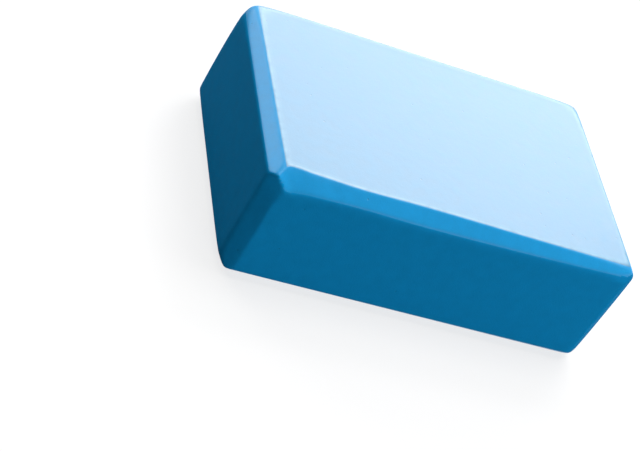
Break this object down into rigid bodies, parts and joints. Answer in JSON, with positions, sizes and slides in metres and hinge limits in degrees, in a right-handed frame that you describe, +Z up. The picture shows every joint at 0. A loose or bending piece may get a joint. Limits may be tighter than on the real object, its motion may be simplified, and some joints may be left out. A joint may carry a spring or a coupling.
{
  "type": "foam exercise block",
  "caption": "Flat rectangular foam block with bevelled, softened edges, for support under a hand, foot or seat.",
  "frame": {"origin": "middle of the underside, with the block lying flat on its largest face", "axes": "+X along the length to the right, +Y across the width from front to back, +Z up through the thickness"},
  "size_m": [0.2286, 0.1524, 0.0762],
  "materials": {
    "foam": "satin closed-cell EVA foam"
  },
  "bodies": {
    "root": {"foam_block": "foam"}
  },
  "joints": []
}
